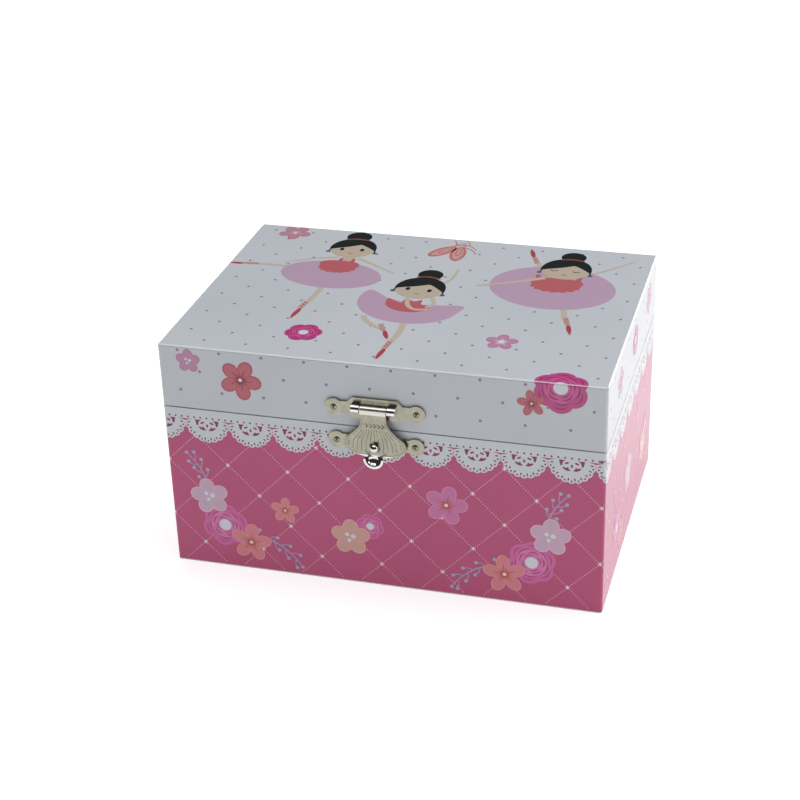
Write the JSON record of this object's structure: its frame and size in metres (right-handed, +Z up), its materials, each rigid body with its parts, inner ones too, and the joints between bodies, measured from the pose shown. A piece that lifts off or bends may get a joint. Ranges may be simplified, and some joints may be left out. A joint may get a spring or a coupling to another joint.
{
  "type": "ballerina jewellery box",
  "caption": "Hinged paper-covered board box with a front hasp latch, mirrored lid, lined tray, and a wind-up music movement turning a spring-mounted dancer that rises as the lid opens.",
  "frame": {"origin": "centre of the underside, on the surface the box rests on", "axes": "+X to the box's right as seen from the front, +Y to the back, +Z up; the latch is on the -Y side"},
  "size_m": [0.15, 0.127, 0.084],
  "materials": {
    "greyboard": "uncoated greyboard",
    "printed_wrap_base": "thinly varnished printed paper, rose pink ground",
    "printed_wrap_lid": "thinly varnished printed paper, pale cool grey ground",
    "foot_paper": "plain matt paper",
    "velour": "short-pile velour on board",
    "lid_lining_paper": "plain matt paper",
    "deck_board": "uncoated greyboard",
    "mirror_glass": "silvered glass",
    "champagne_nickel": "dull champagne nickel plate on stamped steel",
    "bright_nickel": "bright nickel plate",
    "hinge_steel": "nickel-plated steel",
    "zinc_steel": "zinc-plated steel",
    "cast_zinc": "gold-lacquered zinc casting",
    "brass": "turned brass",
    "comb_steel": "ground spring steel",
    "spring_steel": "blued spring steel",
    "train_plastic": "acetal",
    "guide_plastic": "moulded plastic",
    "figure_plastic": "hand-painted moulded plastic",
    "tulle": "stiff tulle"
  },
  "bodies": {
    "base": {"foot_sheet": "foot_paper", "base_floor_board": "greyboard", "base_front_board": "greyboard", "base_back_board": "greyboard", "base_side_boards": "greyboard", "base_wrap": "printed_wrap_base", "compartment_lining": "velour", "compartment_divider": "velour", "movement_partition": "greyboard", "deck_cleats": "greyboard", "movement_deck": "deck_board", "deck_lining": "velour", "stop_wire_bush": "guide_plastic", "stop_wire_guide": "guide_plastic", "hinge_base_leaves": "hinge_steel", "hinge_pins": "zinc_steel", "base_nails": "zinc_steel", "latch_base_plate": "champagne_nickel", "latch_stud": "bright_nickel", "movement_bedplate": "cast_zinc", "movement_screws": "zinc_steel", "movement_small_screws": "zinc_steel", "music_comb": "comb_steel", "barrel_bridge": "brass", "cylinder_top_bearing": "brass", "spring_housing": "zinc_steel", "mainspring": "spring_steel", "governor_frame": "brass", "stop_wire_spring": "spring_steel", "spring_lower_half": "spring_steel"},
    "cylinder": {"cylinder_arbor": "zinc_steel", "music_cylinder": "brass", "cylinder_pinion": "brass", "cylinder_gear": "train_plastic", "spring_socket": "train_plastic"},
    "winder": {"winding_arbor": "zinc_steel", "crown_wheel": "train_plastic", "winding_key": "zinc_steel"},
    "governor_wheel": {"governor_shaft": "zinc_steel", "worm_wheel": "train_plastic"},
    "fan": {"governor_worm": "zinc_steel", "governor_fan": "train_plastic"},
    "stop_wire": {"stop_wire": "zinc_steel"},
    "spring_middle": {"spring_upper_half": "spring_steel"},
    "dancer_stem": {"dancer_plug": "train_plastic"},
    "dancer": {"dancer_figure": "figure_plastic", "dancer_tutu": "tulle"},
    "lid": {"lid_top_board": "greyboard", "lid_front_board": "greyboard", "lid_back_board": "greyboard", "lid_side_boards": "greyboard", "lid_wrap": "printed_wrap_lid", "lid_lining": "lid_lining_paper", "mirror": "mirror_glass", "mirror_surround": "greyboard", "latch_lid_plate": "champagne_nickel", "latch_pin": "zinc_steel", "hinge_lid_leaves": "hinge_steel", "lid_nails": "zinc_steel"},
    "latch_flap": {"latch_flap": "champagne_nickel"}
  },
  "joints": [
    {"name": "lid_open", "type": "hinge", "parent": "base", "child": "lid", "pos_m": [0, 0.0546, 0.061], "axis": [-1, 0, 0], "range_deg": [0, 100]},
    {"name": "latch_swing", "type": "hinge", "parent": "lid", "child": "latch_flap", "pos_m": [-0.0006, -0.0553, 0.0688], "axis": [-1, 0, 0], "range_deg": [0, 150]},
    {"name": "music_drive", "type": "hinge", "parent": "base", "child": "cylinder", "pos_m": [0, 0.0334, 0.04], "axis": [0, 0, 1], "continuous": true},
    {"name": "key_turn", "type": "hinge", "parent": "base", "child": "winder", "pos_m": [0, 0.05, 0.0175], "axis": [0, 1, 0], "continuous": true},
    {"name": "governor_wheel_turn", "type": "hinge", "parent": "base", "child": "governor_wheel", "pos_m": [-0.00561, 0.02779, 0.0252], "axis": [0, 0, 1], "continuous": true},
    {"name": "fan_spin", "type": "hinge", "parent": "base", "child": "fan", "pos_m": [-0.016, 0.02179, 0.0252], "axis": [1, 0, 0], "continuous": true},
    {"name": "stop_wire_rise", "type": "slide", "parent": "base", "child": "stop_wire", "axis": [0, 0, 1], "range_m": [0, 0.005], "deforming": ["stop_wire_spring"]},
    {"name": "spring_bend_low", "type": "hinge", "parent": "base", "child": "spring_middle", "pos_m": [0, 0.0334, 0.06112], "axis": [-1, 0, 0], "range_deg": [0, 45], "deforming": ["spring_lower_half"]},
    {"name": "spring_bend_high", "type": "hinge", "parent": "spring_middle", "child": "dancer_stem", "pos_m": [0, 0.02757, 0.06696], "axis": [-1, 0, 0], "range_deg": [0, 45], "deforming": ["spring_upper_half"]},
    {"name": "dancer_turn", "type": "hinge", "parent": "dancer_stem", "child": "dancer", "pos_m": [0, 0.02344, 0.06696], "axis": [0, -1, 0], "continuous": true}
  ],
  "couplings": [
    {"joint": "key_turn", "follows": "music_drive", "ratio": -0.2},
    {"joint": "governor_wheel_turn", "follows": "music_drive", "ratio": -4},
    {"joint": "fan_spin", "follows": "music_drive", "ratio": 96},
    {"joint": "dancer_turn", "follows": "music_drive", "ratio": 1},
    {"joint": "stop_wire_rise", "follows": "lid_open", "m_per_rad": 0.00286},
    {"joint": "spring_bend_low", "follows": "lid_open", "ratio": 0.45},
    {"joint": "spring_bend_high", "follows": "lid_open", "ratio": 0.45}
  ]
}
